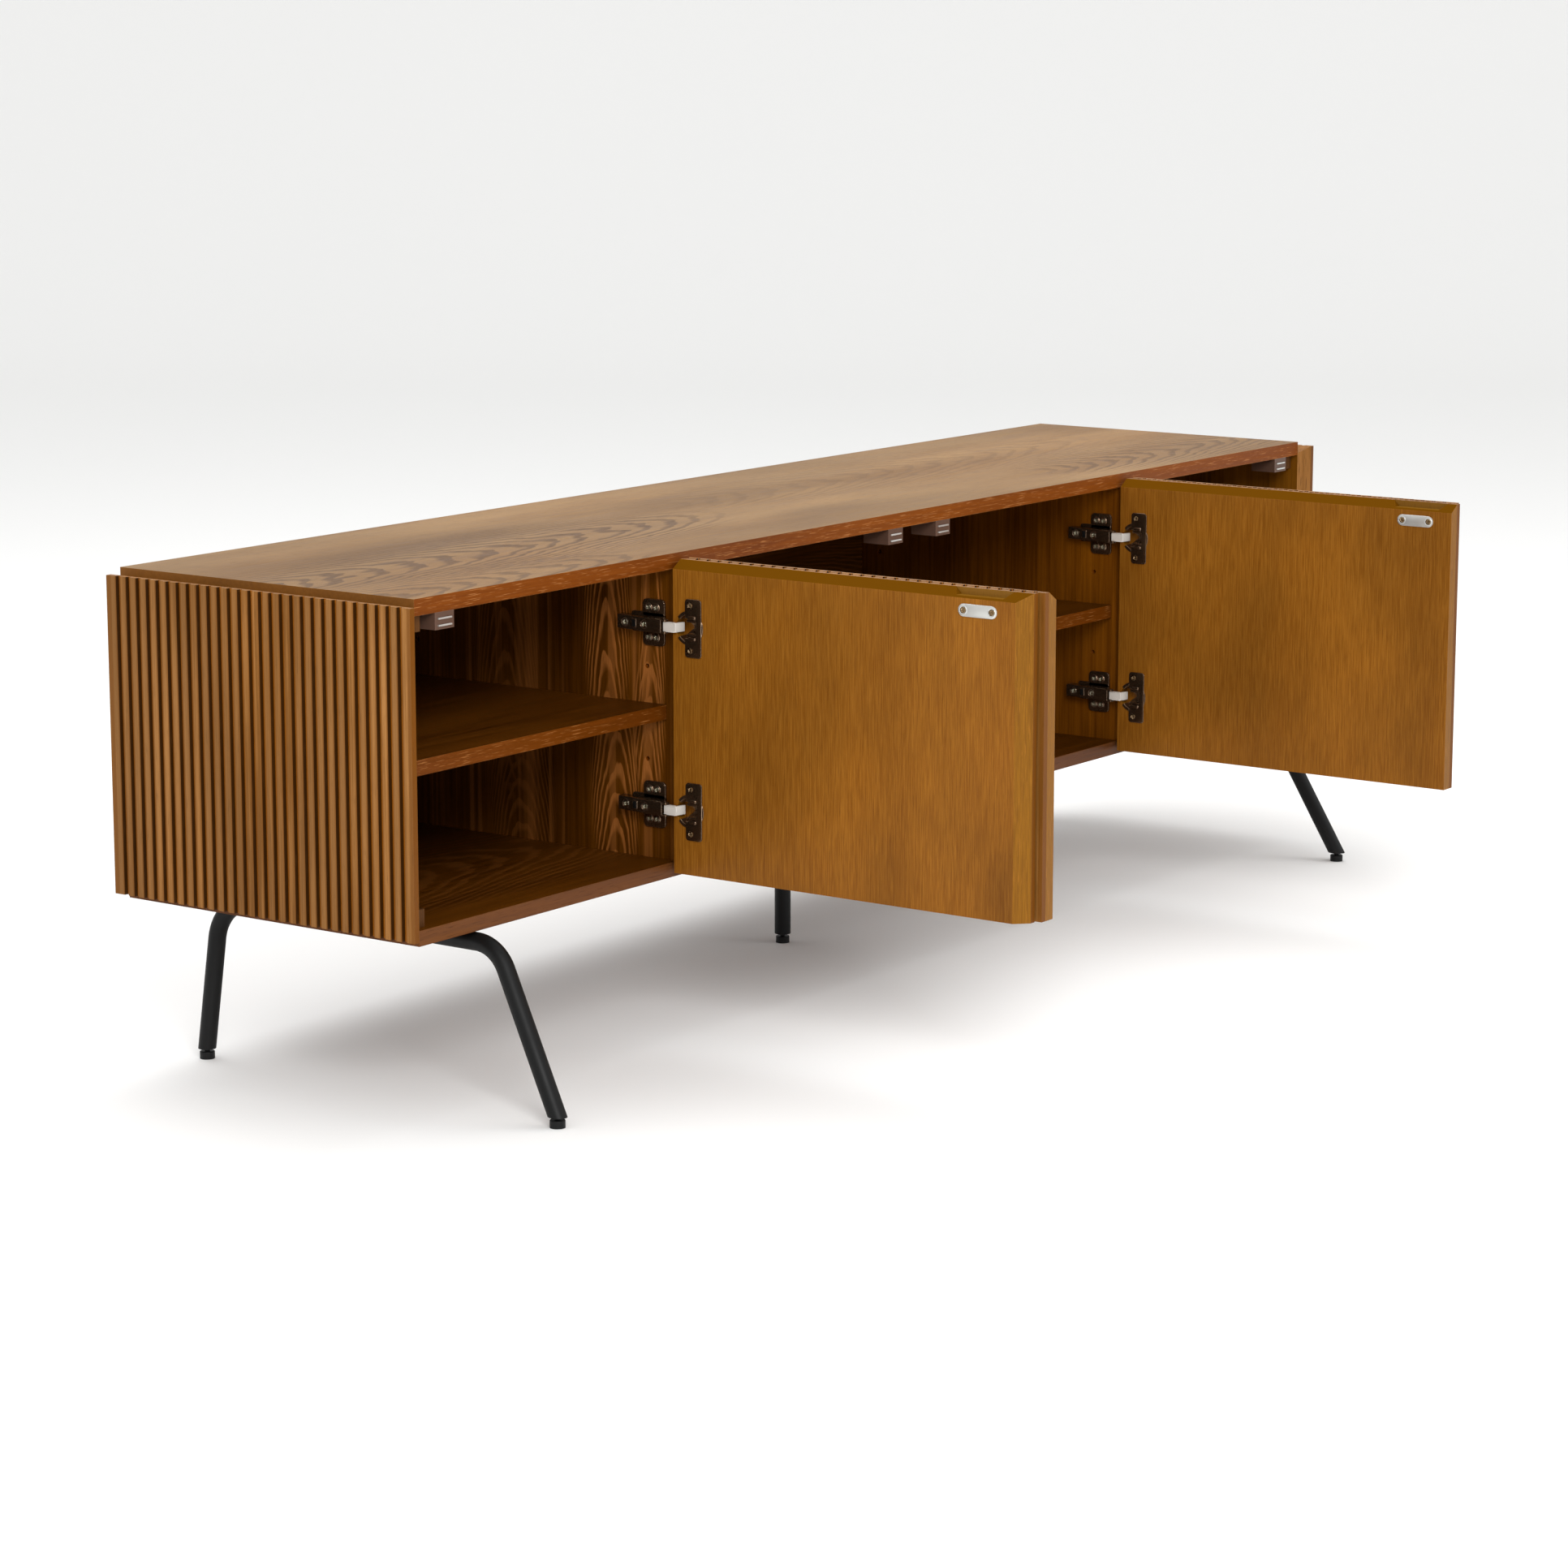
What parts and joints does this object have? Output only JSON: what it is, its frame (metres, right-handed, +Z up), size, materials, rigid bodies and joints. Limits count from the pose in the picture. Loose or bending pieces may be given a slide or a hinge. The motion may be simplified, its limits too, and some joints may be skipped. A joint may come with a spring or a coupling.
{
  "type": "media cabinet with doors",
  "caption": "Low cabinet for a television with fluted sides and doors, open shelves behind them, concealed hinges, magnetic catches and bent tube legs on glides.",
  "frame": {"origin": "centre of the underside of the centre leg's glide, on the floor", "axes": "+Z up, +X along the cabinet's width, -Y out of the doors"},
  "size_m": [1.8, 0.8495, 0.53],
  "materials": {
    "top_wood": "satin lacquer, pale brown",
    "case_wood": "satin lacquer, red brown",
    "fluted_wood": "satin lacquer, fluted",
    "door_wood": "satin lacquer, golden brown",
    "inner_wood": "satin, dark brown",
    "block_wood": "plain",
    "black_steel": "satin black powder coat",
    "black_plastic": "matte",
    "zinc_steel": "zinc plated",
    "bronze_steel": "dark bronze plated",
    "link_steel": "nickel plated",
    "brass_screw": "plated",
    "catch_plastic": "matte"
  },
  "bodies": {
    "cabinet": {"top_board": "top_wood", "bottom_board": "case_wood", "back_panel": "inner_wood", "side_board_left": "case_wood", "side_board_right": "case_wood", "side_facing_left": "fluted_wood", "side_facing_right": "fluted_wood", "divider_left": "inner_wood", "divider_right": "inner_wood", "shelf_left": "inner_wood", "shelf_middle": "inner_wood", "shelf_right": "inner_wood", "shelf_pins": "zinc_steel", "corner_blocks": "block_wood", "leg_frame_left": "black_steel", "leg_frame_right": "black_steel", "leg_centre": "black_steel", "leg_plugs": "black_plastic", "leg_screws": "zinc_steel", "hinge_plates": "bronze_steel", "hinge_arms": "bronze_steel", "hinge_plate_screws": "brass_screw", "catch_1": "catch_plastic", "catch_2": "catch_plastic", "catch_3": "catch_plastic", "catch_4": "catch_plastic", "catch_poles": "zinc_steel"},
    "door_1": {"door_1_board": "door_wood", "door_1_facing": "fluted_wood", "door_1_cups": "bronze_steel", "door_1_strike": "zinc_steel", "door_1_screws": "brass_screw"},
    "links_1": {"door_1_links": "link_steel"},
    "door_2": {"door_2_board": "door_wood", "door_2_facing": "fluted_wood", "door_2_cups": "bronze_steel", "door_2_strike": "zinc_steel", "door_2_screws": "brass_screw"},
    "links_2": {"door_2_links": "link_steel"},
    "door_3": {"door_3_board": "door_wood", "door_3_facing": "fluted_wood", "door_3_cups": "bronze_steel", "door_3_strike": "zinc_steel", "door_3_screws": "brass_screw"},
    "links_3": {"door_3_links": "link_steel"},
    "door_4": {"door_4_board": "door_wood", "door_4_facing": "fluted_wood", "door_4_cups": "bronze_steel", "door_4_strike": "zinc_steel", "door_4_screws": "brass_screw"},
    "links_4": {"door_4_links": "link_steel"},
    "glide_front_left": {"foot_front_left": "black_plastic"},
    "glide_back_left": {"foot_back_left": "black_plastic"},
    "glide_front_right": {"foot_front_right": "black_plastic"},
    "glide_back_right": {"foot_back_right": "black_plastic"},
    "glide_centre": {"foot_centre": "black_plastic"}
  },
  "joints": [
    {"name": "door_1_hinge", "type": "hinge", "parent": "cabinet", "child": "door_1", "pos_m": [-0.46, -0.207, 0.3565], "axis": [0, 0, 1], "range_deg": [-90, 0]},
    {"name": "door_1_link_turn", "type": "hinge", "parent": "cabinet", "child": "links_1", "pos_m": [-0.477, -0.19235, 0.3565], "axis": [0, 0, 1], "range_deg": [-1, 30.56]},
    {"name": "door_2_hinge", "type": "hinge", "parent": "cabinet", "child": "door_2", "pos_m": [-0.44, -0.207, 0.3565], "axis": [0, 0, 1], "range_deg": [0, 90]},
    {"name": "door_2_link_turn", "type": "hinge", "parent": "cabinet", "child": "links_2", "pos_m": [-0.423, -0.19235, 0.3565], "axis": [0, 0, 1], "range_deg": [-30.56, 1]},
    {"name": "door_3_hinge", "type": "hinge", "parent": "cabinet", "child": "door_3", "pos_m": [0.44, -0.207, 0.3565], "axis": [0, 0, 1], "range_deg": [-90, 0]},
    {"name": "door_3_link_turn", "type": "hinge", "parent": "cabinet", "child": "links_3", "pos_m": [0.423, -0.19235, 0.3565], "axis": [0, 0, 1], "range_deg": [-1, 30.56]},
    {"name": "door_4_hinge", "type": "hinge", "parent": "cabinet", "child": "door_4", "pos_m": [0.46, -0.207, 0.3565], "axis": [0, 0, 1], "range_deg": [0, 90]},
    {"name": "door_4_link_turn", "type": "hinge", "parent": "cabinet", "child": "links_4", "pos_m": [0.477, -0.19235, 0.3565], "axis": [0, 0, 1], "range_deg": [-30.56, 1]},
    {"name": "glide_front_left_screw", "type": "slide", "parent": "cabinet", "child": "glide_front_left", "axis": [0, 0, -1], "range_m": [-0.0015, 0.006]},
    {"name": "glide_back_left_screw", "type": "slide", "parent": "cabinet", "child": "glide_back_left", "axis": [0, 0, -1], "range_m": [-0.0015, 0.006]},
    {"name": "glide_front_right_screw", "type": "slide", "parent": "cabinet", "child": "glide_front_right", "axis": [0, 0, -1], "range_m": [-0.0015, 0.006]},
    {"name": "glide_back_right_screw", "type": "slide", "parent": "cabinet", "child": "glide_back_right", "axis": [0, 0, -1], "range_m": [-0.0015, 0.006]},
    {"name": "glide_centre_screw", "type": "slide", "parent": "cabinet", "child": "glide_centre", "axis": [0, 0, -1], "range_m": [-0.0015, 0.006]}
  ],
  "couplings": [
    {"joint": "door_1_link_turn", "follows": "door_1_hinge", "ratio": -0.334},
    {"joint": "door_2_link_turn", "follows": "door_2_hinge", "ratio": -0.334},
    {"joint": "door_3_link_turn", "follows": "door_3_hinge", "ratio": -0.334},
    {"joint": "door_4_link_turn", "follows": "door_4_hinge", "ratio": -0.334}
  ]
}
